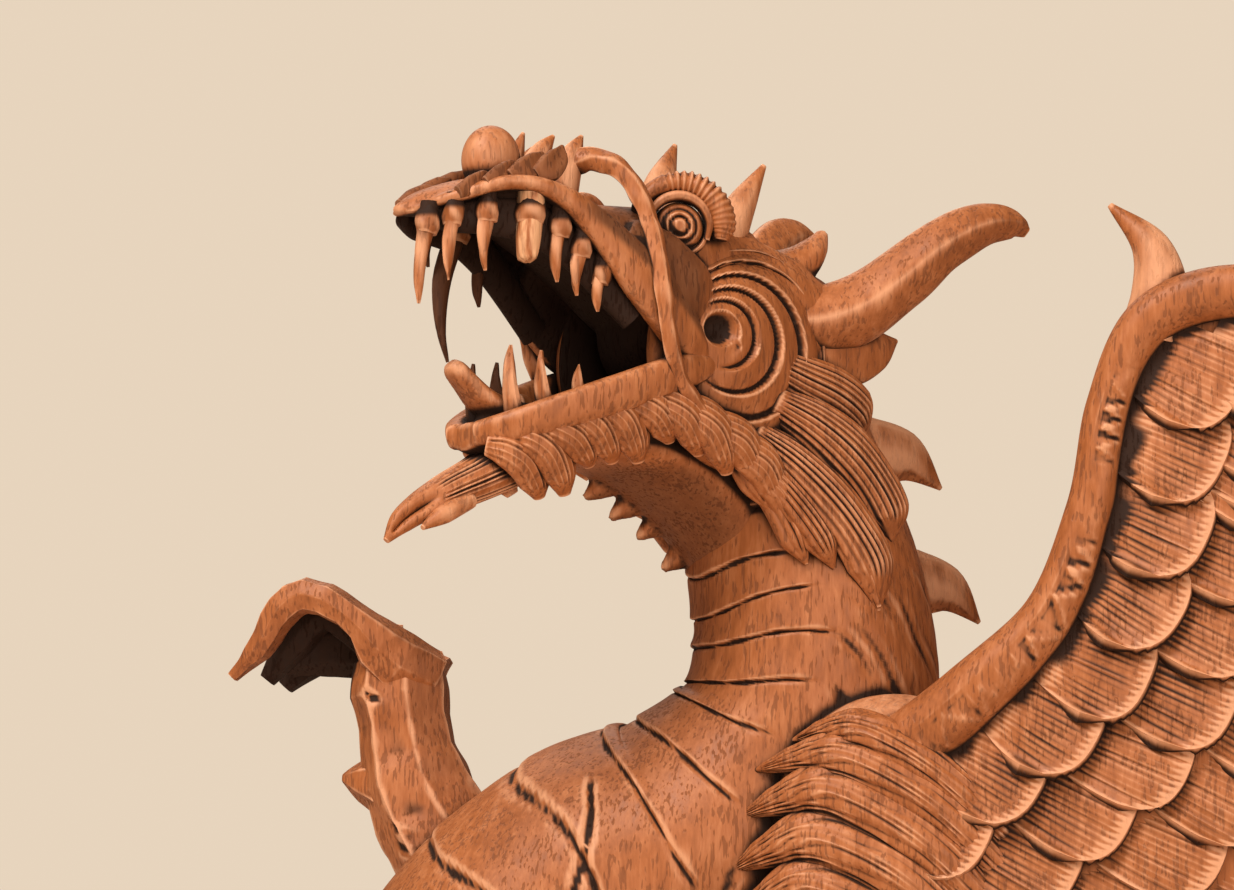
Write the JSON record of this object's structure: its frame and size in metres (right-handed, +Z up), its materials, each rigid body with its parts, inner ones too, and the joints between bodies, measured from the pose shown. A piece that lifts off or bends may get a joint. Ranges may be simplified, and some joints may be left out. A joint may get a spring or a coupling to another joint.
{
  "type": "naga statue",
  "caption": "One-block carved wooden statue of a rearing winged serpent dragon with open jaws, a raised claw and feathered wings, standing on a low oval base.",
  "frame": {"origin": "middle of the flat underside of the base", "axes": "+Z up from the underside; the body faces -X, its left side is -Y, and the head is turned 47 degrees to its left"},
  "size_m": [0.3205, 0.1862, 0.3462],
  "materials": {
    "carved_wood": "reddish brown stain with open pores, rubbed to a low wax sheen on the high places"
  },
  "bodies": {
    "root": {"naga_statue": "carved_wood"}
  },
  "joints": []
}
